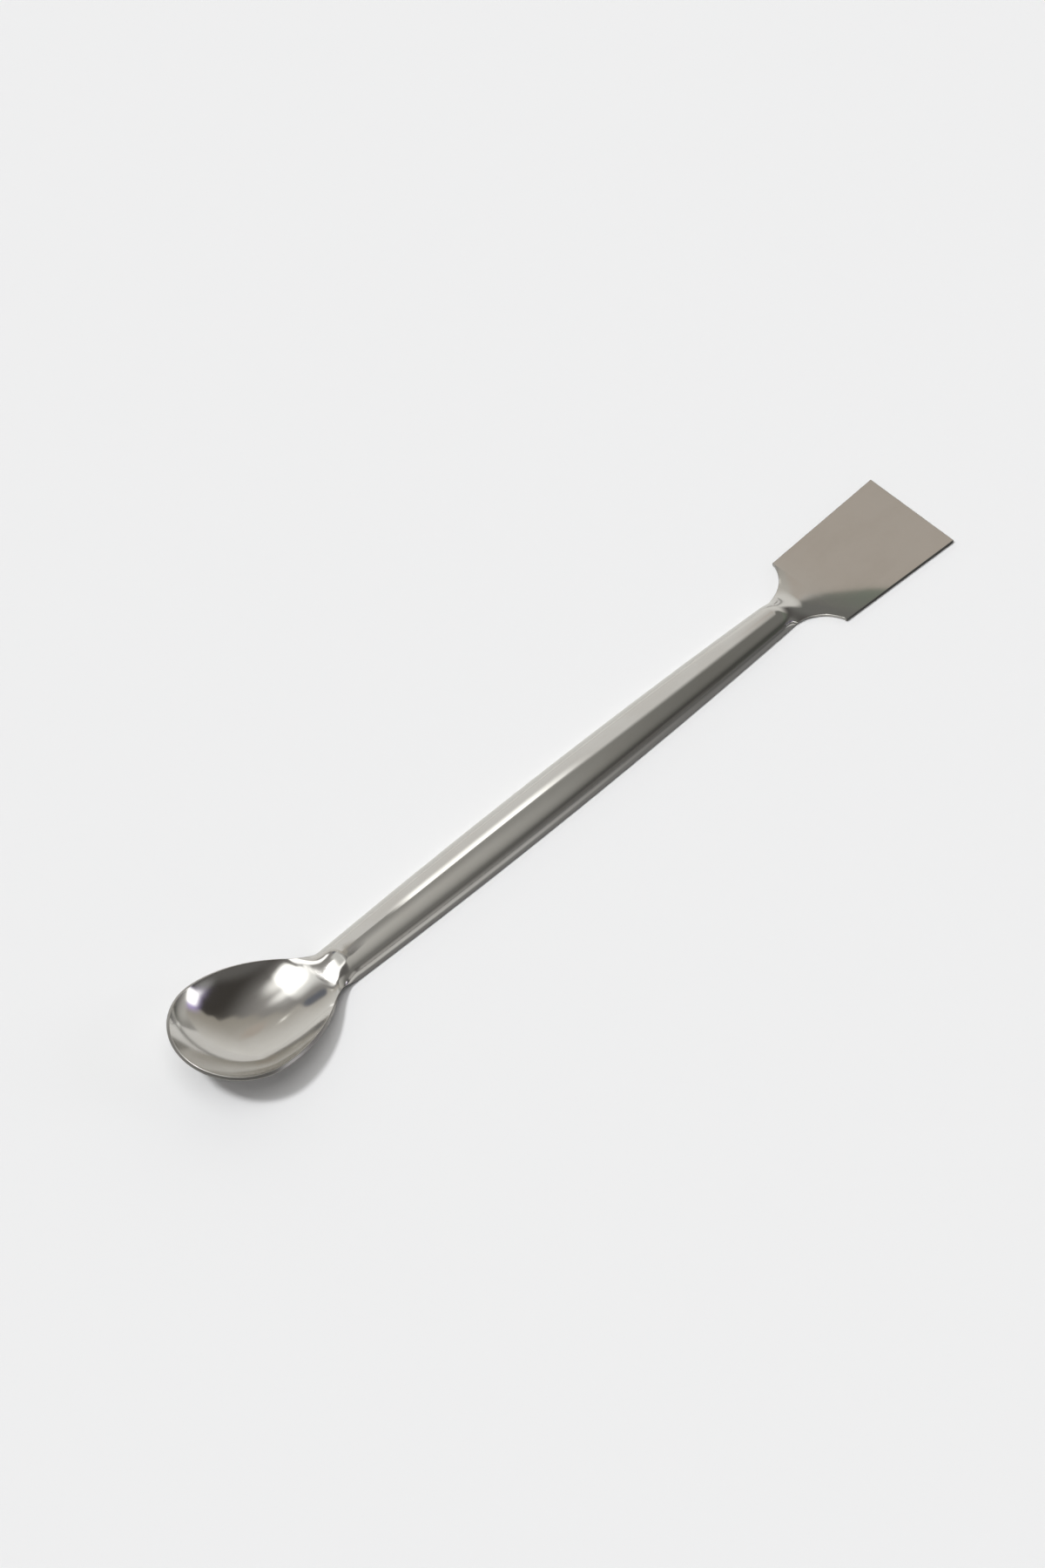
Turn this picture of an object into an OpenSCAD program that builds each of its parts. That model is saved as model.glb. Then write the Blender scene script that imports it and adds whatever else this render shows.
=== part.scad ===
// Double-ended lab spatula, pressed from one sheet of stainless steel.
// A spoon bowl and a flat blade are joined by a handle of half-round channel section.
// X runs along the spatula from the spoon to the blade, Y across it and Z up.
// It lies on the plane z = 0, on the blade's underside and the two edges of the handle.

/* [Sheet] */
// Overall length, from the tip of the spoon to the end of the blade
overall_l = 180; // [150:1:220]
// Thickness of the steel sheet
sheet_t = 0.7; // [0.5:0.05:1]

/* [Spoon] */
// Length of the hollow from its tip to its widest place
bowl_front = 11.6; // [9:0.1:14]
// Length of the hollow from its widest place to the neck
bowl_back = 23.1; // [19:0.1:28]
// Width of the hollow at its rim
bowl_w = 22.7; // [18:0.1:26]
// Depth of the hollow under the line across the rim
bowl_depth = 5.3; // [4:0.1:5.4]
// Leanness of the taper towards the neck, where 0.5 is an ellipse
bowl_taper = 0.86; // [0.5:0.02:1]
// Height of the rim at the tip above the edges of the handle
tip_lift = 7.8; // [7.5:0.1:11]
// Bow of the rim seen from the side, where 0 is a straight line
rim_bow = 0.58; // [0.4:0.02:0.8]
// Reach of the round between the side of the bowl and the neck
neck_blend = 2.3; // [1:0.1:4]
// Length over which the rib of the handle runs down into the bowl
spoon_run = 6; // [5:0.1:10]
// Length of the gentle foot of the rib on the floor of the bowl
foot_run = 11.6; // [8:0.1:15]
// Share of the rib's rise that lies in its foot
foot_share = 0.35; // [0.1:0.05:0.5]

/* [Handle] */
// Width of the handle at the spoon
neck_w = 8.8; // [8.4:0.1:10]
// Width of the handle at its widest place
belly_w = 10; // [9:0.05:12]
// Distance of the widest place from the tip of the spoon
belly_at = 80; // [65:1:100]
// Width of the handle at the blade
blade_neck_w = 7; // [6.8:0.1:9]
// Rise of the half-round rib over the edges at the spoon
neck_rise = 3.85; // [2.5:0.05:4.1]
// Rise of the rib at the widest place
belly_rise = 4.2; // [2.5:0.05:4.4]
// Rise of the rib at the blade
blade_neck_rise = 3.2; // [1:0.05:3.3]

/* [Blade] */
// Length of the blade from its shoulders to its end
blade_l = 27.6; // [20:0.1:36]
// Width of the blade over its shoulders
shoulder_w = 18.6; // [15:0.1:21.8]
// Width of the blade at its end
blade_end_w = 20.7; // [15:0.1:26]
// Radius of the hollow shoulders
shoulder_r = 7.9; // [7.5:0.1:12]
// Length over which the rib runs out, before the shoulders begin to spread
run_before = 2.5; // [1:0.1:6]
// Length over which the rib runs out, after the shoulders begin to spread
run_after = 4.5; // [2:0.1:6]
// Length of the blade, from its shoulders, that keeps a faint arch
blade_run = 8; // [4:0.1:12]
// Share of the rib's rise that runs out in the faint arch
run_share = 0.2; // [0.05:0.05:0.3]

/* [Hidden] */

steel = [0.74, 0.73, 0.70];

// Places along the spatula are measured from the tip of the hollow. The rim is cut square
// to the sheet, so its outer corner reaches a little past that tip.
neck_s = bowl_front + bowl_back;
tip_slope = 2*bowl_depth/bowl_front + tip_lift*(1 - rim_bow)/neck_s;
tip_overhang = sheet_t*sin(atan(tip_slope));
end_s = overall_l - tip_overhang;
corner_s = end_s - blade_l;
shoulder_spread = (shoulder_w - blade_neck_w)/2;
shoulder_turn = acos(1 - shoulder_spread/shoulder_r);
shoulder_s = corner_s - shoulder_r*sin(shoulder_turn);
rib_end_s = shoulder_s - run_before;
flat_s = corner_s + blade_run;

// Reach of the round where the rim line leaves the level of the handle's edges
rim_blend = 0.6;
rib_start_s = neck_s + rim_blend;
neck_end_s = rib_start_s + spoon_run;
// Length that the lofted sheet and the flat of the blade share
blade_seat = 1;
// Width of the first cross-section, which closes the tip
tip_land_w = 1.3;
// Step for the slopes of the sheet
slope_step = 0.001;

// Counts of cross-sections along each stretch, and of strips across the sheet
tip_rows = 18;
back_rows = 14;
neck_rows = 24;
handle_rows = 22;
run_rows = 5;
shoulder_rows = 12;
blade_rows = 6;
strips = 20;

// Larger of two lines, with a round of reach k where they cross
function smooth_max(a, b, k) = max(a, b) + k/4*pow(max(0, 1 - abs(a - b)/k), 2);

// Smooth step from 0 at a to 1 at b
function ramp(s, a, b) =
    let (t = max(0, min(1, (s - a)/(b - a))))
    t*t*(3 - 2*t);

// Parabola along the handle through its values at the spoon, the widest place and the blade
function along_handle(s, at_neck, at_belly, at_blade) =
    at_neck*(s - belly_at)*(s - shoulder_s)/((neck_s - belly_at)*(neck_s - shoulder_s))
    + at_belly*(s - neck_s)*(s - shoulder_s)/((belly_at - neck_s)*(belly_at - shoulder_s))
    + at_blade*(s - neck_s)*(s - belly_at)/((shoulder_s - neck_s)*(shoulder_s - belly_at));

// Half-width of the bowl: an ellipse before the widest place, a leaner taper behind it
function bowl_half(s) =
    s < bowl_front
    ? bowl_w/2*sqrt(1 - pow(1 - s/bowl_front, 2))
    : bowl_w/2*pow(max(0, 1 - pow((s - bowl_front)/bowl_back, 2)), bowl_taper);

function handle_half(s) = along_handle(s, neck_w/2, belly_w/2, blade_neck_w/2);

// Half-width of the hollow shoulder, an arc that leaves the side of the handle
function shoulder_half(s) = blade_neck_w/2 + shoulder_r - sqrt(pow(shoulder_r, 2) - pow(s - shoulder_s, 2));

// Half-width of the blade, which flares evenly from its shoulders to its end
function blade_half(s) = shoulder_w/2 + (blade_end_w - shoulder_w)/2*(s - corner_s)/blade_l;

function half_width(s) =
    s <= bowl_front ? bowl_half(s)
    : s < shoulder_s ? smooth_max(bowl_half(s), handle_half(s), neck_blend)
    : s < corner_s ? shoulder_half(s)
    : blade_half(s);

// Share of the rib's rise at the spoon, where it comes up on a gentle foot and then steeply
function rib_start(s) =
    (1 - foot_share)*ramp(s, rib_start_s - spoon_run, rib_start_s)
    + foot_share*ramp(s, rib_start_s - foot_run, rib_start_s);

// Share of the rib's rise at the blade, where it goes down steeply and then as a faint arch
function rib_end(s) =
    1 - (1 - run_share)*ramp(s, rib_end_s, shoulder_s + run_after)
    - run_share*ramp(s, rib_end_s, flat_s);

function rib_rise(s) =
    along_handle(min(s, shoulder_s), neck_rise, belly_rise, blade_neck_rise)*rib_start(s)*rib_end(s);

// Rise of a cross-section's arc over its chord, less than zero in the bowl
function arc_rise(s) = rib_rise(s) - bowl_depth*pow(2*bowl_half(s)/bowl_w, 2);

// Height of the bowl's rim over the edges of the handle
function rim_lift(s) =
    let (t = 1 - s/neck_s)
    smooth_max(0, tip_lift*t*(1 + rim_bow*(1 - t)), rim_blend);

// Point of the sheet's upper face at s, where v runs across it from -1 to 1.
// Each cross-section is a circular arc of chord 2*w and rise h. Its edges are cut square
// to the sheet, so that on the handle the lower corner of each edge lies at z = 0.
function upper(s, v) =
    let (w = half_width(s))
    let (h = arc_rise(s))
    let (k = h/w)
    let (edge_z = rim_lift(s) + sheet_t*cos(2*atan(k)))
    let (d = 1 + pow(k*v, 2))
    [s, w*(1 + k*k)*v/d, edge_z + h*(1 - v*v)/d];

// Point of the lower face, one sheet thickness below the upper one and square to it
function lower(s, v) =
    let (along = upper(s + slope_step, v) - upper(s - slope_step, v))
    let (across = upper(s, v + slope_step) - upper(s, v - slope_step))
    let (n = cross(along, across))
    upper(s, v) - sheet_t*n/norm(n);

// Places of n cross-sections after a, up to and including b
function spread(a, b, n) = [for (i = [1:n]) a + (b - a)*i/n];

// Places of the cross-sections, close together at the round tip
tip_angle = asin(tip_land_w/bowl_w);
sections = concat(
    [for (i = [0:tip_rows]) bowl_front*(1 - cos(tip_angle + (90 - tip_angle)*i/tip_rows))],
    spread(bowl_front, rib_start_s - spoon_run, back_rows),
    spread(rib_start_s - spoon_run, neck_end_s, neck_rows),
    spread(neck_end_s, rib_end_s, handle_rows),
    spread(rib_end_s, shoulder_s, run_rows),
    [for (i = [1:shoulder_rows]) shoulder_s + shoulder_r*sin(shoulder_turn*i/shoulder_rows)],
    spread(corner_s, flat_s, blade_rows),
    [flat_s + blade_seat]
);
last = len(sections) - 1;

// Two triangles of a strip, seen clockwise as a, b, c, d, with the diagonal from a to c
function two(a, b, c, d) = [[a, b, c], [a, c, d]];

// Spoon, handle and root of the blade: a sheet lofted through the cross-sections
module pressed_sheet() {
    row = strips + 1;
    under = row*(last + 1);
    across = [for (j = [0:strips]) -1 + 2*j/strips];
    points = concat(
        [for (s = sections) for (v = across) upper(s, v)],
        [for (s = sections) for (v = across) lower(s, v)]
    );
    faces = [
        for (i = [0:last - 1]) for (j = [0:strips - 1])
            let (a = i*row + j)
            let (b = a + 1)
            let (c = a + row + 1)
            let (d = a + row)
            each 2*j < strips
                ? concat(two(a, b, c, d), two(under + a, under + d, under + c, under + b))
                : concat(two(b, c, d, a), two(under + d, under + c, under + b, under + a)),
        for (i = [0:last - 1])
            let (a = i*row)
            let (b = a + strips)
            each concat(two(a, a + row, under + a + row, under + a),
                two(b + row, b, under + b, under + b + row)),
        for (j = [0:strips - 1])
            let (b = last*row + j)
            each concat(two(j + 1, j, under + j, under + j + 1),
                two(b, b + 1, under + b + 1, under + b))
    ];
    polyhedron(points, faces);
}

// Outline of the flat of the blade
module blade_outline() {
    polygon([
        [flat_s, -blade_half(flat_s)],
        [end_s, -blade_end_w/2],
        [end_s, blade_end_w/2],
        [flat_s, blade_half(flat_s)]
    ]);
}

module spatula() {
    color(steel) translate([tip_overhang - overall_l/2, 0, 0]) union() {
        pressed_sheet();
        linear_extrude(sheet_t) blade_outline();
    }
}

spatula();
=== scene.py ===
"""Double-ended lab spatula of polished stainless steel, lying on a pale table.

The spatula is one pressed sheet: a numpy surface of circular-arc cross-sections, with rounded
edges all round. Sizes are millimetres, places along the spatula (s) count from the tip of the
spoon's hollow, and the mesh is metres in the shared frame.

Polished steel shows its surroundings, so the room is a map of the sky and five level cards that
only reflections see. The cards and the table's mirrored colour are painted reflections.
"""

import math

import bpy
import numpy as np
from mathutils import Matrix, Vector


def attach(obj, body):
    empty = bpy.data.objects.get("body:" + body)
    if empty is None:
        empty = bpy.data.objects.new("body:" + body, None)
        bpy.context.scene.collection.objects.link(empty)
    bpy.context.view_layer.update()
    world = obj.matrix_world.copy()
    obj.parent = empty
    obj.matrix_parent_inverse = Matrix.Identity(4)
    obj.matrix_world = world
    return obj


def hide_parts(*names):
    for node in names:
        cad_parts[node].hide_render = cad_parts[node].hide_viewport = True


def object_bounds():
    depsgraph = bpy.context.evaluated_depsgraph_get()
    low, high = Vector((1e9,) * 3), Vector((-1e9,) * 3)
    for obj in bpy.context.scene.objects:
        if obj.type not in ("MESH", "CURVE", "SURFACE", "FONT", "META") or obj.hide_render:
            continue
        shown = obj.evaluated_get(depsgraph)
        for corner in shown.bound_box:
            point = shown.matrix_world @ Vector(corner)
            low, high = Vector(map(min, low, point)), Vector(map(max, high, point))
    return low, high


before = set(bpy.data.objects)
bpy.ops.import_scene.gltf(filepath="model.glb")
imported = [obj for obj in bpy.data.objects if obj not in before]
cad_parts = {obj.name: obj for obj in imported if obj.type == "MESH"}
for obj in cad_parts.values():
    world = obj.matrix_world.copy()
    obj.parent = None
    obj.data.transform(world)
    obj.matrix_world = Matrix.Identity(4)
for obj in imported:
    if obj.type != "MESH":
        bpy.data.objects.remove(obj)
cad_low, cad_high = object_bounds()

MM = 0.001
TINY = 1e-6

# Sheet
OVERALL_L = (cad_high.x - cad_low.x)/MM
SHEET_T = 0.7
EDGE_R = 0.14

# Spoon
BOWL_FRONT = 11.6
BOWL_BACK = 23.1
BOWL_W = 22.7
BOWL_DEPTH = 5.3
BOWL_TAPER = 0.86
TIP_LIFT = 7.8
RIM_BOW = 0.58
RIM_BLEND = 0.6
NECK_BLEND = 2.3
SPOON_RUN = 6.0
FOOT_RUN = 11.6
FOOT_SHARE = 0.35

# Handle
NECK_W = 8.8
BELLY_W = 10.0
BELLY_AT = 80.0
BLADE_NECK_W = 7.0
NECK_RISE = 3.85
BELLY_RISE = 4.2
BLADE_NECK_RISE = 3.2

# Blade
BLADE_L = 27.6
SHOULDER_W = 18.6
BLADE_END_W = 20.7
SHOULDER_R = 7.9
RUN_BEFORE = 2.5
RUN_AFTER = 4.5
BLADE_RUN = 8.0
RUN_SHARE = 0.2

# Places along the spatula
NECK_S = BOWL_FRONT + BOWL_BACK
TIP_SLOPE = 2*BOWL_DEPTH/BOWL_FRONT + TIP_LIFT*(1 - RIM_BOW)/NECK_S
TIP_OVERHANG = SHEET_T*math.sin(math.atan(TIP_SLOPE))
END_S = OVERALL_L - TIP_OVERHANG
CORNER_S = END_S - BLADE_L
SHOULDER_SPREAD = (SHOULDER_W - BLADE_NECK_W)/2
SHOULDER_TURN = math.acos(1 - SHOULDER_SPREAD/SHOULDER_R)
SHOULDER_S = CORNER_S - SHOULDER_R*math.sin(SHOULDER_TURN)
RIB_START_S = NECK_S + RIM_BLEND
RIB_END_S = SHOULDER_S - RUN_BEFORE
FLAT_S = CORNER_S + BLADE_RUN

# Mesh: cross-sections in each stretch, points across a face and in a quarter round
TIP_ROWS = 70
BACK_ROWS = 50
NECK_ROWS = 90
HANDLE_ROWS = 70
RUN_ROWS = 14
SHOULDER_ROWS = 50
BLADE_ROWS = 40
ACROSS = 57
ROUND_STEPS = 6
EDGE_POINTS = 2*(ROUND_STEPS - 1)
DIFF_STEP = 1e-3
TIP_MARGIN = 20*DIFF_STEP
PLACE_DIGITS = 6
WELD_DIGITS = 5
FLIP = np.array([1, -1, 1])

# Steel: stretch per metre, detail and roughness of each noise, then tones, the roughness of the
# surface, and heights of the bump in metres
HAIR_NOISE = ((60, 4200, 4200), 3.0, 0.5)
FINE_NOISE = ((140, 9000, 9000), 2.0, 0.5)
WIPED_NOISE = ((90, 160, 160), 4.0, 0.6)
SWELL_NOISE = ((110, 190, 190), 1.0, 0.5)
WIPED_RANGE = (0.35, 0.7)
STEEL_CLEAN = (0.655, 0.645, 0.62, 1)
STEEL_WIPED = (0.63, 0.615, 0.585, 1)
STEEL_CUT = (0.40, 0.39, 0.37, 1)
ROUGH_CLEAN = 0.09
ROUGH_WIPED = 0.03
ROUGH_HAIR = 0.03
ROUGH_CUT = 0.22
HAIR_HEIGHT = 0.4e-6
FINE_HEIGHT = 0.2e-6
SWELL_HEIGHT = 6e-6

# Camera, as fitted to the photograph: degrees, millimetres and pixels of a 1200 x 1800 frame
VIEW_ELEVATION = 52.949
VIEW_TURN = 44.706
VIEW_TARGET = (-5.155, 5.828, 0.0)
VIEW_DISTANCE = 800.0
VIEW_SCALE = 6.528
FRAME_H = 1800
SENSOR = 36.0
CLIP = (0.01, 20)

# Places on the table and on the cards are millimetres: along the spatula (+X), near (-Y), east to
# the camera's right and north away from it. Two limits are where a smooth step starts and ends.
ALONG = (1, 0, 0)
NEAR = (0, -1, 0)

# Table: what the camera sees, and the painted reflection that the steel mirrors instead
TABLE_HALF = 2500.0
TABLE_ROUGH = 0.9
TABLE_SEEN = (0.852, 0.86, 0.875, 1)
# Painted reflection of the table: darker than it looks, and darkest towards the camera's right
TABLE_WEST = (0.74, 0.74, 0.73, 1)
TABLE_EAST = (0.14, 0.14, 0.14, 1)
# Painted shadow in the mirrored table, close to the handle's near side
TABLE_CLOSE_SHADOW = (0.24, 0.24, 0.24, 1)
# Painted light in the mirrored table, on the far side and by the near shoulder
TABLE_LIGHT = (0.77, 0.77, 0.76, 1)
TABLE_TO_EAST = (-40, 50)
TABLE_TO_CLOSE_SHADOW = (9, 6)
TABLE_TO_FAR = (2, -2)
TABLE_SHOULDER_ALONG = (56, 57)
TABLE_SHOULDER_NEAR = (9.6, 9)

# Room, on a map of the sky in degrees from straight up: x to the camera's right, y away from it
KEY_AT = (-30, -5)
KEY_SIZE = 10.0
KEY_LEVEL = 1.65
WALL_TOP = (0.40, 0.375, 0.33, 1)
WALL_FOOT = (0.84, 0.83, 0.80, 1)
WALL_TO_FOOT = (20, 75)
FRONT_LEFT = (0.32, 0.31, 0.30, 1)
FRONT_RIGHT = (0.06, 0.055, 0.05, 1)
FRONT_TO_RIGHT = (8, 40)
FRONT_DOWN = (0.15, 0.145, 0.14, 1)
FRONT_TO_DOWN = (-12, -24)
FRONT_FOOT = (0.5, 0.49, 0.47, 1)
FRONT_FOOT_Y = (-28, -38)
FRONT_FOOT_DEGREES = (70, 84)
SKIRTING = (0.30, 0.295, 0.28, 1)
SKIRTING_DEGREES = (84, 88)
SKIRTING_X = (-20, -8)
SKIRTING_Y = (40, 60)
BELOW = (0.6, 0.6, 0.6, 1)
BELOW_HEIGHT = (0.02, -0.02)
BACKDROP = (0.86, 0.86, 0.862, 1)

# Upper edge of the wall behind: the larger y of two lines, start - slope*x, and a wave on it,
# size*sin(turn*x)
LINE_STEEP = (29.5, 0.43)
LINE_FLAT = (23.5, 0.1)
LINE_WAVE = (1.4, 0.42)
LINE_SOFT = (-2, 2)

# Ovals of the room: centre, half-size, where it is full and where it ends in half-sizes, tone
FRONT_SPOT = ((65, -14), (1, 1), (2, 9), (0.32, 0.32, 0.32, 1))
WARM_PATCH = ((4, 40), (1, 1), (4, 9), (0.531, 0.479, 0.426, 1))
BLUE_PATCH = ((-27, 36), (1, 1), (3, 9), (0.16, 0.17, 0.20, 1))
SMALL_LAMP = ((-13, 41), (1, 1), (0.6, 1.7), (1.9, 1.9, 1.8, 1))
WIDE_GLOW = ((-12, 14), (14, 14), (0.3, 1.2), (1.05, 1.05, 1.03, 1))
SMALL_GLOW = ((-3, 13), (11, 9), (0.5, 1.15), (1.7, 1.7, 1.68, 1))
PANEL_AT = (-8, -7)
PANEL_HALF = (27, 20)
PANEL_SOFT = (0.85, 1.15)
PANEL_LEVEL = 2.2
PANEL_SHARE = 0.75
PANEL_BLUE = 0.98

# Window and the haze round it: limits of x and y, softness, tone
WINDOW_HAZE = ((54, 90), (-15, 29), 14, (0.62, 0.52, 0.95, 1))
WINDOW_PANE = ((59, 85), (-12, 18), 8, (2.4, 2.4, 2.4, 1))

# Long card over the handle, a painted reflection: pale on the far side of its edge and grey on the
# near side
CARD_HEIGHT = 15.0
CARD_START = -47.0
CARD_START_SOFT = 2.0
CARD_NECK = 6.0
CARD_NECK_NEAR = (3, 7)
CARD_END = 220.0
CARD_EDGE = -5.8
CARD_EDGE_STEPS = (((-48, 42), 5.1), ((60, 67), -6), ((80, 90), -7))
CARD_SOFT = (0.5, 2.6)
CARD_SOFT_ALONG = (-30, 40)
CARD_REACH = (50.0, 90.0)
CARD_REACH_ALONG = (60, 80)
CARD_REACH_SOFT = (0, -8)
CARD_NORTH = (56.5, 55.9)
CARD_FAR = -80.0
CARD_FAR_SOFT = 40.0
CARD_FAR_END = (70, 44)
CARD_PALE = (0.78, 0.77, 0.75, 1)
CARD_AT_SPOON = (0.60, 0.59, 0.56, 1)
CARD_AT_BLADE = (0.21, 0.207, 0.192, 1)
CARD_TO_BLADE = (-49.5, 42)
CARD_GREEN = (0.21, 0.237, 0.195, 1)
CARD_TO_GREEN = (70, 82)
CARD_BLACK = (0, 0, 0, 1)
CARD_LINE_NEAR = (11, 2.5)
CARD_LINE_ALONG = (25, -45)
CARD_LINE_DEPTH = 0.42
CARD_FADE_START = (3, 10)
CARD_FADE_ALONG = (-42, 10)
CARD_FADE_NEAR = (0, 24)
CARD_FADE_DEPTH = 0.63

# Thin glowing strip over the handle, which lights nothing: a painted highlight that shows as a
# line of light on its crown
STRIP_HEIGHT = 9.0
STRIP_ALONG = (-42.0, 10.0)
STRIP_NEAR = (-5.95, -1.05)
STRIP_ALONG_SOFT = (8, 20)
STRIP_NEAR_SOFT = (4, 0.4)
STRIP_WHITE = (1.9, 1.9, 1.85, 1)

# Small card over the spoon's neck, a painted reflection: a white painted highlight over the bowl's
# rim and a grey part beside it
NECK_HEIGHT = 6.0
NECK_ALONG = (-61.2, -53.0)
NECK_NEAR = (-7.7, 3.3)
NECK_WHITE = (1.8, 1.8, 1.78, 1)
NECK_WHITE_ALONG = (-60.1, -55.7)
NECK_WHITE_NEAR = (-7.6, -4.2)
NECK_WHITE_SOFT = ((1, 1), (0.9, 0.9))
NECK_GREY = (0.72, 0.72, 0.70, 1)
NECK_GREY_ALONG = (-57.8, -53.0)
NECK_GREY_NEAR = (-3.2, 3.2)
NECK_GREY_SOFT = ((1.6, 2), (1.4, 1.4))

# Small white card by the blade's near shoulder, a painted highlight for the line of light on its
# cut edge
SHOULDER_HEIGHT = 1.4
SHOULDER_ALONG = (57.6, 60.8)
SHOULDER_NEAR = (5.8, 9.2)
SHOULDER_WHITE = (3.0, 3.0, 2.95, 1)

# Dark card over the blade's neck, a painted dark reflection where the rib runs out, with a
# slanting end
RUN_HEIGHT = 3.0
RUN_ALONG = (53.5, 72.0)
RUN_NEAR = (-1.5, 14.0)
RUN_NEAR_SOFT = (2, 2)
RUN_START_SOFT = 4.0
RUN_END = (62, 59)
RUN_SLANT = 0.7
RUN_DARK = (0.11, 0.105, 0.10, 1)
RUN_GREY = (0.19, 0.19, 0.18, 1)
RUN_TO_GREY = (57, 60)


def smooth_max(a, b, reach):
    """Larger of a and b, with a parabolic round of that reach where they cross."""
    return np.maximum(a, b) + reach/4*np.maximum(0, 1 - np.abs(a - b)/reach)**2


def ramp(s, start, end):
    """Smooth step: 3t^2 - 2t^3, from 0 at start to 1 at end."""
    t = np.clip((s - start)/(end - start), 0, 1)
    return t*t*(3 - 2*t)


def along_handle(s, at_neck, at_belly, at_blade):
    """Parabola through the values at the spoon's neck, the belly and the blade's neck."""
    a, b, c = s - NECK_S, s - BELLY_AT, s - SHOULDER_S
    ab, bc, ca = NECK_S - BELLY_AT, BELLY_AT - SHOULDER_S, SHOULDER_S - NECK_S
    return -at_neck*b*c/(ab*ca) - at_belly*a*c/(ab*bc) - at_blade*a*b/(bc*ca)


def bowl_half(s):
    """Half-width of the hollow: an ellipse before its widest place, (1 - t^2)^taper behind it."""
    front = np.sqrt(np.maximum(0, 1 - (1 - np.clip(s, 0, BOWL_FRONT)/BOWL_FRONT)**2))
    back = np.maximum(0, 1 - (np.maximum(0, s - BOWL_FRONT)/BOWL_BACK)**2)**BOWL_TAPER
    return BOWL_W/2*np.where(s < BOWL_FRONT, front, back)


def half_width(s):
    """Half-width of the outline: bowl and handle blended, the hollow shoulder, then the blade."""
    handle = along_handle(s, NECK_W/2, BELLY_W/2, BLADE_NECK_W/2)
    blended = smooth_max(bowl_half(s), handle, NECK_BLEND)
    spoon = np.where(s <= BOWL_FRONT, bowl_half(s), blended)
    drop = np.sqrt(np.maximum(0, SHOULDER_R**2 - (s - SHOULDER_S)**2))
    shoulder = BLADE_NECK_W/2 + SHOULDER_R - drop
    blade = (SHOULDER_W + (BLADE_END_W - SHOULDER_W)*(s - CORNER_S)/BLADE_L)/2
    return np.where(s < SHOULDER_S, spoon, np.where(s < CORNER_S, shoulder, blade))


def arc_rise(s):
    """Rise of a cross-section's arc over its chord: the rib of the handle less the hollow of the
    bowl. The rib comes up from the bowl on a gentle foot and a steep step, and runs out on the
    blade in a steep step and a faint arch."""
    rib = along_handle(np.minimum(s, SHOULDER_S), NECK_RISE, BELLY_RISE, BLADE_NECK_RISE)
    step_up = ramp(s, RIB_START_S - SPOON_RUN, RIB_START_S)
    foot = ramp(s, RIB_START_S - FOOT_RUN, RIB_START_S)
    step_down = ramp(s, RIB_END_S, SHOULDER_S + RUN_AFTER)
    arch = ramp(s, RIB_END_S, FLAT_S)
    start = (1 - FOOT_SHARE)*step_up + FOOT_SHARE*foot
    end = 1 - (1 - RUN_SHARE)*step_down - RUN_SHARE*arch
    return rib*start*end - BOWL_DEPTH*(2*bowl_half(s)/BOWL_W)**2


def rim_lift(s):
    """Height of the rim over the handle's edges: a bowed line from the tip down to the neck."""
    t = 1 - s/NECK_S
    return smooth_max(0, TIP_LIFT*t*(1 + RIM_BOW*(1 - t)), RIM_BLEND)


def top_face(s, v):
    """Points of the upper face. Across it, v from -1 to 1 runs along a circular arc of chord 2w
    and rise h: with k = h/w, y = w(1 + k^2)v/(1 + k^2v^2) and
    z = edge + h(1 - v^2)/(1 + k^2v^2)."""
    w = half_width(s)
    h = arc_rise(s)
    k = h/np.maximum(w, TINY)
    edge = rim_lift(s) + SHEET_T*np.cos(2*np.arctan(k))
    d = 1 + (k*v)**2
    return np.stack([s + v*0, w*(1 + k*k)*v/d, edge + h*(1 - v*v)/d], -1)


def unit(a):
    """Vectors of length 1 with the same directions."""
    return a/np.linalg.norm(a, axis=-1, keepdims=True)


def face_normal(s, v):
    """Normal of the upper face from central differences, taken a little inside the tip."""
    inside = np.maximum(s, TIP_MARGIN)
    along = top_face(inside + DIFF_STEP, v) - top_face(inside - DIFF_STEP, v)
    across = top_face(inside, v + DIFF_STEP) - top_face(inside, v - DIFF_STEP)
    return unit(np.cross(along, across))


def outline_places():
    """Places of the cross-sections: even in angle round the tip and the shoulders, even in length
    between."""
    tip = BOWL_FRONT*(1 - np.cos(np.linspace(0, math.pi/2, TIP_ROWS)))
    back = np.linspace(BOWL_FRONT, RIB_START_S - SPOON_RUN, BACK_ROWS)
    neck = np.linspace(RIB_START_S - SPOON_RUN, RIB_START_S + SPOON_RUN, NECK_ROWS)
    handle = np.linspace(RIB_START_S + SPOON_RUN, RIB_END_S, HANDLE_ROWS)
    run = np.linspace(RIB_END_S, SHOULDER_S, RUN_ROWS)
    shoulder = SHOULDER_S + SHOULDER_R*np.sin(np.linspace(0, SHOULDER_TURN, SHOULDER_ROWS))
    blade = np.linspace(CORNER_S + 2*EDGE_R, END_S - EDGE_R, BLADE_ROWS)
    places = np.concatenate([tip, back, neck, handle, run, shoulder, blade])
    return np.unique(places.round(PLACE_DIGITS))


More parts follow.
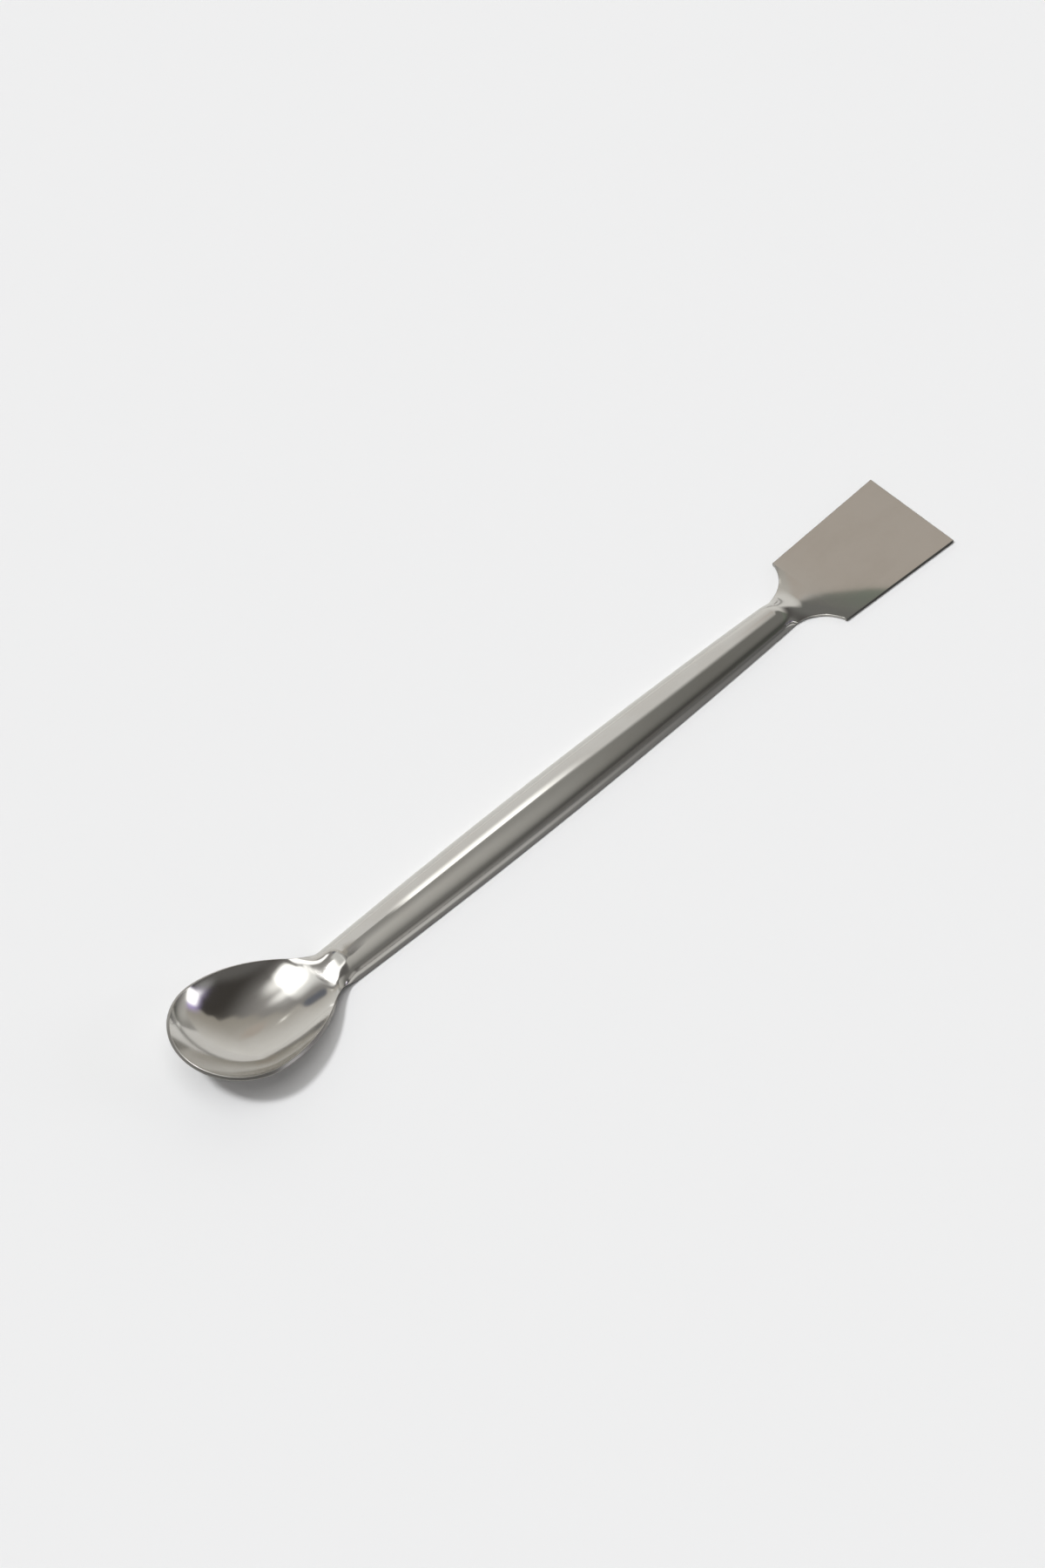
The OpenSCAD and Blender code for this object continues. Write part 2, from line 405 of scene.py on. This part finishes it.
def sheet_rings():
    """The sheet as closed rings of points and normals, one ring for each cross-section.

    A ring runs over the upper face from -y to +y, round the edge, back under the sheet and round
    the other edge. Each edge is two quarter rounds of radius EDGE_R, square to the outline. The
    upper face stops EDGE_R inside the outline, and the lower one lies SHEET_T below it along the
    normal. The last rings round the blade's end.
    """
    s = outline_places()
    rim = top_face(s, np.ones_like(s))
    before_tip, after_end = rim[1]*FLIP, 2*rim[-1] - rim[-2]
    chord = unit(np.diff(np.vstack([before_tip, rim, after_end]), axis=0))
    tangent = unit(chord[:-1] + chord[1:])
    mitre = 1/(tangent*chord[1:]).sum(-1)
    outward = unit(np.cross(face_normal(s, np.ones_like(s)), tangent))
    s_in = s - EDGE_R*mitre*outward[:, 0]
    y_in = np.maximum(0, rim[:, 1] - EDGE_R*mitre*outward[:, 1])
    w = half_width(s_in)
    k = arc_rise(s_in)/w
    spread = w*(1 + k*k)
    v_in = 2*y_in/(spread + np.sqrt(np.maximum(0, spread**2 - (2*k*y_in)**2)))
    v_in[0] = 0

    s_grid = np.repeat(s_in[:, None], ACROSS, 1)
    v_grid = v_in[:, None]*np.linspace(-1, 1, ACROSS)
    top = top_face(s_grid, v_grid)
    up = face_normal(s_grid, v_grid)

    turn = np.linspace(0, math.pi/2, ROUND_STEPS)
    rise, fall = np.sin(turn)[:, None], np.cos(turn)[:, None]
    ahead = np.array([1.0, 0, 0])
    right_up = up[:, -1]
    right_out = unit(outward - (outward*right_up).sum(-1, keepdims=True)*right_up)
    left_up, left_out = right_up*FLIP, right_out*FLIP
    stretch = mitre[:, None, None]

    def edge_normals(over, out):
        """Normals of an edge's upper and lower quarter round."""
        upper = over[:, None]*fall + out[:, None]*rise
        lower = out[:, None]*fall - over[:, None]*rise
        return upper, lower

    right_a, right_b = edge_normals(right_up, right_out)
    left_a, left_b = edge_normals(left_up, left_out)

    def ring(radius, shift, lean):
        """The rings with edge rounds of this radius, moved along X and their normals leant
        towards +X."""
        top_r = top[:, -1:] - EDGE_R*right_up[:, None]
        top_l = top[:, :1] - EDGE_R*left_up[:, None]
        low_r = top[:, -1:] - (SHEET_T - EDGE_R)*right_up[:, None]
        low_l = top[:, :1] - (SHEET_T - EDGE_R)*left_up[:, None]
        to_right = radius*(stretch - 1)*right_out[:, None]
        to_left = radius*(stretch - 1)*left_out[:, None]
        points = [
            top - (EDGE_R - radius)*up,
            (top_r + radius*right_a + rise*to_right)[:, 1:],
            (low_r + radius*right_b + fall*to_right)[:, :-1],
            (top - (SHEET_T - EDGE_R + radius)*up)[:, ::-1],
            (low_l + radius*left_b + fall*to_left)[:, -2::-1],
            (top_l + radius*left_a + rise*to_left)[:, :0:-1],
        ]
        normals = [
            up, right_a[:, 1:], right_b[:, :-1],
            -up[:, ::-1], left_b[:, -2::-1], left_a[:, :0:-1],
        ]
        normals = np.concatenate(normals, 1)*math.cos(lean) + ahead*math.sin(lean)
        return np.concatenate(points, 1) + shift*ahead, normals

    points, normals = ring(EDGE_R, 0, 0)
    reach = END_S - EDGE_R - s_in[-1]
    for lean in turn:
        radius, shift = EDGE_R*math.cos(lean), reach + EDGE_R*math.sin(lean)
        end_points, end_normals = ring(radius, shift, lean)
        points = np.vstack([points, end_points[-1:]])
        normals = np.vstack([normals, end_normals[-1:]])
    return points, normals


def spatula_sheet():
    """The whole spatula: quads between neighbouring rings, closed at the tip by welding and at the
    blade's end by a strip between the upper and the lower face. Its attribute cut_edge is 1 on the
    rounded edges."""
    points, normals = sheet_rings()
    rows, count = points.shape[:2]
    number = np.arange(rows*count).reshape(rows, count)
    beside = np.roll(number, -1, axis=1)
    quads = np.stack([number[:-1], number[1:], beside[1:], beside[:-1]], -1).reshape(-1, 4)
    under = ACROSS + EDGE_POINTS + np.arange(ACROSS)[::-1]
    upper_row, lower_row = number[-1, :ACROSS], number[-1, under]
    cap = np.stack([lower_row[:-1], lower_row[1:], upper_row[1:], upper_row[:-1]], -1)
    quads = np.vstack([quads, cap])

    flat = points.reshape(-1, 3)
    _, first, weld = np.unique(
        flat.round(WELD_DIGITS), axis=0, return_index=True, return_inverse=True)
    quads = weld.reshape(-1)[quads]
    same = quads == np.roll(quads, -1, axis=1)
    whole = quads[same.sum(1) == 0]
    pinched = same.sum(1) == 1
    drop = np.argmax(same[pinched], axis=1)
    keep = (drop[:, None] + np.arange(1, 4)) % 4
    triangles = np.take_along_axis(quads[pinched], keep, axis=1)

    cut = np.zeros((rows, count), np.float32)
    cut[:, ACROSS:ACROSS + EDGE_POINTS] = 1
    cut[:, -EDGE_POINTS:] = 1
    cut[1 - ROUND_STEPS:] = 1

    place = np.array([TIP_OVERHANG - OVERALL_L/2, 0, 0])
    mesh = bpy.data.meshes.new("spatula_sheet")
    mesh.from_pydata((flat[first] + place)*MM, [], whole.tolist() + triangles.tolist())
    mesh.polygons.foreach_set("use_smooth", np.ones(len(mesh.polygons), bool))
    mesh.normals_split_custom_set_from_vertices(unit(normals.reshape(-1, 3)[first]).tolist())
    cut_edge = mesh.attributes.new("cut_edge", "FLOAT", "POINT")
    cut_edge.data.foreach_set("value", cut.reshape(-1)[first])
    mesh.update()
    return placed("spatula_sheet", mesh)


def placed(name, data):
    """A new object in the scene with this mesh, camera or lamp."""
    made = bpy.data.objects.new(name, data)
    bpy.context.scene.collection.objects.link(made)
    return made


class Sock:
    """An output socket. Python operators on it add Math nodes to its graph."""

    def __init__(self, graph, socket):
        self.graph = graph
        self.socket = socket

    def math(self, operation, *values):
        return self.graph.math(operation, self, *values)

    def __add__(self, other):
        return self.math("ADD", other)

    def __radd__(self, other):
        return self.graph.math("ADD", other, self)

    def __sub__(self, other):
        return self.math("SUBTRACT", other)

    def __rsub__(self, other):
        return self.graph.math("SUBTRACT", other, self)

    def __mul__(self, other):
        return self.math("MULTIPLY", other)

    def __rmul__(self, other):
        return self.graph.math("MULTIPLY", other, self)

    def __truediv__(self, other):
        return self.math("DIVIDE", other)

    def __pow__(self, other):
        return self.math("POWER", other)


class Graph:
    """A node tree that is built by calls."""

    def __init__(self, tree):
        self.tree = tree
        tree.nodes.clear()

    def node(self, kind, settings=None, inputs=None, output=0):
        """Adds a node: its settings first, then the values or links of its sockets."""
        made = self.tree.nodes.new(kind)
        for name, value in (settings or {}).items():
            setattr(made, name, value)
        for name, value in (inputs or {}).items():
            if isinstance(value, Sock):
                self.tree.links.new(value.socket, made.inputs[name])
            else:
                made.inputs[name].default_value = value
        return Sock(self, made.outputs[output] if made.outputs else None)

    def math(self, operation, *values):
        return self.node("ShaderNodeMath", {"operation": operation}, dict(enumerate(values)))

    def vector(self, operation, a, b, output="Vector"):
        return self.node("ShaderNodeVectorMath", {"operation": operation}, {0: a, 1: b}, output)

    def dot(self, a, b):
        return self.vector("DOT_PRODUCT", a, b, "Value")

    def mix(self, factor, a, b):
        return self.node("ShaderNodeMix", {"data_type": "RGBA"}, {0: factor, 6: a, 7: b}, 2)

    def step(self, value, low, high, to_low=0.0, to_high=1.0):
        """Smooth step of a value between two limits."""
        sockets = {"Value": value, "From Min": low, "From Max": high,
                   "To Min": to_low, "To Max": to_high}
        return self.node("ShaderNodeMapRange", {"interpolation_type": "SMOOTHSTEP"}, sockets)

    def band(self, value, limits, soft):
        """1 between two limits, with a smooth step of a given length inside each."""
        start = self.step(value, limits[0], limits[0] + soft[0])
        end = self.step(value, limits[1], limits[1] - soft[1])
        return start*end

    def noise(self, place, stretch, detail, roughness):
        """Noise of a place that is first stretched along each axis."""
        sockets = {"Vector": self.vector("MULTIPLY", place, stretch), "Scale": 1.0,
                   "Detail": detail, "Roughness": roughness}
        return self.node("ShaderNodeTexNoise", None, sockets)

    def ray_is(self, kind):
        return self.node("ShaderNodeLightPath", output=f"Is {kind} Ray")


def new_material(name):
    """A material and the graph of its nodes."""
    material = bpy.data.materials.new(name)
    material.use_nodes = True
    return material, Graph(material.node_tree)


def polished_steel():
    """Polished stainless sheet: fine hairlines along the length, a soft unevenness of the polish,
    cloudy wiping marks in the tone and the roughness, and duller cut edges."""
    material, g = new_material("polished_steel")
    place = g.node("ShaderNodeTexCoord", output="Object")
    hair = g.noise(place, *HAIR_NOISE)
    fine = g.noise(place, *FINE_NOISE)
    wiped = g.step(g.noise(place, *WIPED_NOISE), *WIPED_RANGE)
    swell = g.noise(place, *SWELL_NOISE)
    cut = g.node("ShaderNodeAttribute", {"attribute_name": "cut_edge"}, output="Fac")

    colour = g.mix(cut, g.mix(wiped, STEEL_CLEAN, STEEL_WIPED), STEEL_CUT)
    rough = ROUGH_CLEAN + ROUGH_WIPED*wiped + ROUGH_HAIR*hair + ROUGH_CUT*cut
    height = HAIR_HEIGHT*hair + FINE_HEIGHT*fine + SWELL_HEIGHT*swell
    bump = g.node("ShaderNodeBump", None, {"Strength": 1.0, "Distance": 1.0, "Height": height})
    shader = g.node("ShaderNodeBsdfPrincipled", None, {
        "Base Color": colour, "Metallic": 1.0, "Roughness": rough, "Normal": bump})
    g.node("ShaderNodeOutputMaterial", None, {"Surface": shader})
    return material


def view_axes():
    """Camera right and the level direction away from the camera, turned from the X axis."""
    turn = math.radians(VIEW_TURN)
    right = Vector((math.cos(turn), -math.sin(turn), 0))
    away = Vector((math.sin(turn), math.cos(turn), 0))
    return right, away


def level_plane(name, along, near, height):
    """A level rectangle, from its limits in millimetres."""
    corners = [(along[0], near[0]), (along[0], near[1]), (along[1], near[1]), (along[1], near[0])]
    mesh = bpy.data.meshes.new(name)
    mesh.from_pydata([(x*MM, -y*MM, height*MM) for x, y in corners], [], [(0, 1, 2, 3)])
    return placed(name, mesh)


def measures(g, *axes):
    """The place on the table or a card, in millimetres along each of these axes."""
    place = g.node("ShaderNodeTexCoord", output="Object")
    return [g.dot(place, axis)/MM for axis in axes]


def table_top():
    """A wide pale table, which isn't part of the spatula. The steel mirrors a painted reflection
    of it
    instead: darker to the right, a painted shadow close to the handle's near side, and painted
    light on the far side and by the near shoulder."""
    whole = (-TABLE_HALF, TABLE_HALF)
    table = level_plane("table", whole, whole, 0)
    material, g = new_material("table_white")
    along, near, east = measures(g, ALONG, NEAR, view_axes()[0])
    mirrored = g.mix(g.step(east, *TABLE_TO_EAST), TABLE_WEST, TABLE_EAST)
    # Painted shadow: the mirrored table is darker close to the handle's near side
    mirrored = g.mix(g.step(near, *TABLE_TO_CLOSE_SHADOW), mirrored, TABLE_CLOSE_SHADOW)
    # Painted light: the mirrored table is lighter on the far side and by the near shoulder
    shoulder = g.step(along, *TABLE_SHOULDER_ALONG)*g.step(near, *TABLE_SHOULDER_NEAR)
    light = g.step(near, *TABLE_TO_FAR).math("MAXIMUM", shoulder)
    mirrored = g.mix(light, mirrored, TABLE_LIGHT)
    colour = g.mix(g.ray_is("Glossy"), TABLE_SEEN, mirrored)
    shader = g.node("ShaderNodeBsdfPrincipled", None, {
        "Base Color": colour, "Roughness": TABLE_ROUGH, "Specular IOR Level": 0.0})
    g.node("ShaderNodeOutputMaterial", None, {"Surface": shader})
    table.data.materials.append(material)


def photo_camera():
    """Camera that looks down on the spatula at the photograph's angle and scale."""
    right, away = view_axes()
    tilt = math.radians(VIEW_ELEVATION)
    forward = away*math.cos(tilt) - Vector((0, 0, math.sin(tilt)))
    up = right.cross(forward)
    data = bpy.data.cameras.new("camera")
    data.sensor_width = SENSOR
    data.lens = VIEW_SCALE*VIEW_DISTANCE*SENSOR/FRAME_H
    data.clip_start, data.clip_end = CLIP
    camera = placed("camera", data)
    axes = Matrix((right, up, -forward)).transposed().to_4x4()
    stand = (Vector(VIEW_TARGET) - VIEW_DISTANCE*forward)*MM
    camera.matrix_world = Matrix.Translation(stand) @ axes
    bpy.context.scene.camera = camera


def room_light():
    """Soft room light: a large panel overhead, a pale wall behind that is brighter near the table,
    and a dim room in front with a window low on the right."""
    right, away = view_axes()
    world = bpy.data.worlds.new("studio")
    bpy.context.scene.world = world
    world.use_nodes = True
    g = Graph(world.node_tree)
    ray = g.node("ShaderNodeTexCoord", output="Generated")
    height = g.dot(ray, (0, 0, 1))
    degrees = height.math("ARCCOSINE")*(180/math.pi)
    level = g.math("SQRT", g.math("MAXIMUM", 1 - height*height, TINY))
    x = g.dot(ray, right)/level*degrees
    y = g.dot(ray, away)/level*degrees

    def with_oval(colour, centre, half, soft, tone):
        """The colour with a soft oval of another tone on it."""
        off = (((x - centre[0])/half[0])**2 + ((y - centre[1])/half[1])**2).math("SQRT")
        return g.mix(g.step(off, soft[1], soft[0]), colour, tone)

    def with_window(colour, x_limits, y_limits, soft, tone):
        """The colour with a soft rectangle of another tone on it."""
        pane = g.band(x, x_limits, (soft, soft))*g.band(y, y_limits, (soft, soft))
        return g.mix(pane, colour, tone)

    wall = g.mix(g.step(y, *WALL_TO_FOOT), WALL_TOP, WALL_FOOT)
    front = g.mix(g.step(x, *FRONT_TO_RIGHT), FRONT_LEFT, FRONT_RIGHT)
    front = g.mix(g.step(y, *FRONT_TO_DOWN), front, FRONT_DOWN)
    foot = g.step(y, *FRONT_FOOT_Y)*g.step(degrees, *FRONT_FOOT_DEGREES)
    front = g.mix(foot, front, FRONT_FOOT)
    front = with_oval(front, *FRONT_SPOT)
    steep, flat = (start - slope*x for start, slope in (LINE_STEEP, LINE_FLAT))
    line = steep.math("MAXIMUM", flat) + LINE_WAVE[0]*(LINE_WAVE[1]*x).math("SINE")
    colour = g.mix(g.step(y - line, *LINE_SOFT), front, wall)
    for spot in (WARM_PATCH, BLUE_PATCH, SMALL_LAMP):
        colour = with_oval(colour, *spot)
    for window in (WINDOW_HAZE, WINDOW_PANE):
        colour = with_window(colour, *window)
    skirting = g.step(degrees, *SKIRTING_DEGREES)*g.step(x, *SKIRTING_X)*g.step(y, *SKIRTING_Y)
    colour = g.mix(skirting, colour, SKIRTING)
    for spot in (WIDE_GLOW, SMALL_GLOW):
        colour = with_oval(colour, *spot)
    full = (PANEL_LEVEL, PANEL_LEVEL, PANEL_BLUE*PANEL_LEVEL, 1)
    dim = tuple(PANEL_SHARE*part for part in full[:3]) + (1,)
    panel = g.mix(g.ray_is("Glossy"), dim, full)
    colour = with_oval(colour, PANEL_AT, PANEL_HALF, PANEL_SOFT, panel)
    colour = g.mix(g.step(height, *BELOW_HEIGHT), colour, BELOW)
    colour = g.mix(g.ray_is("Camera"), colour, BACKDROP)
    backdrop = g.node("ShaderNodeBackground", None, {"Color": colour, "Strength": 1.0})
    g.node("ShaderNodeOutputWorld", None, {"Surface": backdrop})


def key_lamp():
    """A broad lamp inside the panel, which casts the spatula's shadow."""
    right, away = view_axes()
    zenith = math.radians(math.hypot(*KEY_AT))
    level_dir = (right*KEY_AT[0] + away*KEY_AT[1]).normalized()
    towards = level_dir*math.sin(zenith) + Vector((0, 0, math.cos(zenith)))
    lamp = bpy.data.lights.new("key", "SUN")
    lamp.energy = KEY_LEVEL
    lamp.angle = math.radians(KEY_SIZE)
    key = placed("key", lamp)
    key.rotation_mode = "QUATERNION"
    key.rotation_quaternion = towards.to_track_quat("Z", "Y")


def mirrored_plane(name, along, near, height, shade):
    """A level, glowing card that only reflections see: a painted reflection, which lights nothing
    and casts no shadow. shade(g) gives how much of it there is at a place, and its tone there."""
    plane = level_plane(name, along, near, height)
    material, g = new_material(name)
    inside, tone = shade(g)
    clear = g.node("ShaderNodeBsdfTransparent")
    glow = g.node("ShaderNodeEmission", None, {"Color": tone, "Strength": 1.0})
    shader = g.node("ShaderNodeMixShader", None, {0: inside, 1: clear, 2: glow})
    g.node("ShaderNodeOutputMaterial", None, {"Surface": shader})
    plane.data.materials.append(material)
    plane.visible_camera = False
    plane.visible_diffuse = False
    plane.visible_transmission = False
    plane.visible_shadow = False


def card_shade(g):
    """Pale on the far side of the handle. On the near side grey, darker towards the blade, away
    from the handle and, by the spoon, in a line along its edge. It ends in a straight line that
    shows on the blade."""
    along, near, north = measures(g, ALONG, NEAR, view_axes()[1])
    edge = CARD_EDGE
    for limits, change in CARD_EDGE_STEPS:
        edge = edge + g.step(along, *limits, 0, change)
    side = g.step((near - edge)/g.step(along, *CARD_SOFT_ALONG, *CARD_SOFT), -1, 1)
    reach = g.step(along, *CARD_REACH_ALONG, *CARD_REACH)
    near_part = g.step(north, *CARD_NORTH)*g.step(near - reach, *CARD_REACH_SOFT)
    far_part = g.step(near, CARD_FAR, CARD_FAR + CARD_FAR_SOFT)*g.step(along, *CARD_FAR_END)
    start = along - CARD_START + g.step(near, *CARD_NECK_NEAR, 0, CARD_NECK)
    started = g.step(start, -CARD_START_SOFT, CARD_START_SOFT)
    inside = (near_part*side + far_part*(1 - side))*started

    tone = g.mix(g.step(along, *CARD_TO_BLADE), CARD_AT_SPOON, CARD_AT_BLADE)
    tone = g.mix(g.step(along, *CARD_TO_GREEN), tone, CARD_GREEN)
    line_depth = g.step(along, *CARD_LINE_ALONG, 0, CARD_LINE_DEPTH)
    tone = g.mix(g.step(near - edge, *CARD_LINE_NEAR)*line_depth, tone, CARD_BLACK)
    fade_start = g.step(along, *CARD_FADE_ALONG, *CARD_FADE_START)
    fade = g.step(near - fade_start, *CARD_FADE_NEAR, 0, CARD_FADE_DEPTH)
    tone = g.mix(fade, tone, CARD_BLACK)
    return inside, g.mix(side, CARD_PALE, tone)


def strip_shade(g):
    """White, with soft ends and sides."""
    along, near = measures(g, ALONG, NEAR)
    ends = g.band(along, STRIP_ALONG, STRIP_ALONG_SOFT)
    return ends*g.band(near, STRIP_NEAR, STRIP_NEAR_SOFT), STRIP_WHITE


def neck_shade(g):
    """A white painted highlight over the bowl's rim and a grey one over the neck."""
    along, near = measures(g, ALONG, NEAR)
    white = g.band(along, NECK_WHITE_ALONG, NECK_WHITE_SOFT[0])
    white = white*g.band(near, NECK_WHITE_NEAR, NECK_WHITE_SOFT[1])
    grey = g.band(along, NECK_GREY_ALONG, NECK_GREY_SOFT[0])
    grey = grey*g.band(near, NECK_GREY_NEAR, NECK_GREY_SOFT[1])
    return white.math("MAXIMUM", grey), g.mix(white, NECK_GREY, NECK_WHITE)


def shoulder_shade(_):
    """White all over."""
    return 1.0, SHOULDER_WHITE


def run_shade(g):
    """Dark, less so over the blade, with soft ends and sides."""
    along, near = measures(g, ALONG, NEAR)
    start = g.step(along, RUN_ALONG[0], RUN_ALONG[0] + RUN_START_SOFT)
    end = g.step(along - RUN_SLANT*near, *RUN_END)
    inside = start*end*g.band(near, RUN_NEAR, RUN_NEAR_SOFT)
    return inside, g.mix(g.step(along, *RUN_TO_GREY), RUN_DARK, RUN_GREY)


spatula = spatula_sheet()
spatula.data.materials.append(polished_steel())
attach(spatula, "root")
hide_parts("spatula")

table_top()
photo_camera()
room_light()
key_lamp()
card_along = (CARD_START - CARD_NECK - CARD_START_SOFT, CARD_END)
mirrored_plane("card", card_along, (CARD_FAR, CARD_REACH[1]), CARD_HEIGHT, card_shade)
mirrored_plane("strip", STRIP_ALONG, STRIP_NEAR, STRIP_HEIGHT, strip_shade)
mirrored_plane("neck_card", NECK_ALONG, NECK_NEAR, NECK_HEIGHT, neck_shade)
mirrored_plane("shoulder_card", SHOULDER_ALONG, SHOULDER_NEAR, SHOULDER_HEIGHT, shoulder_shade)
mirrored_plane("run_card", RUN_ALONG, RUN_NEAR, RUN_HEIGHT, run_shade)
bpy.context.scene.view_settings.view_transform = "Standard"
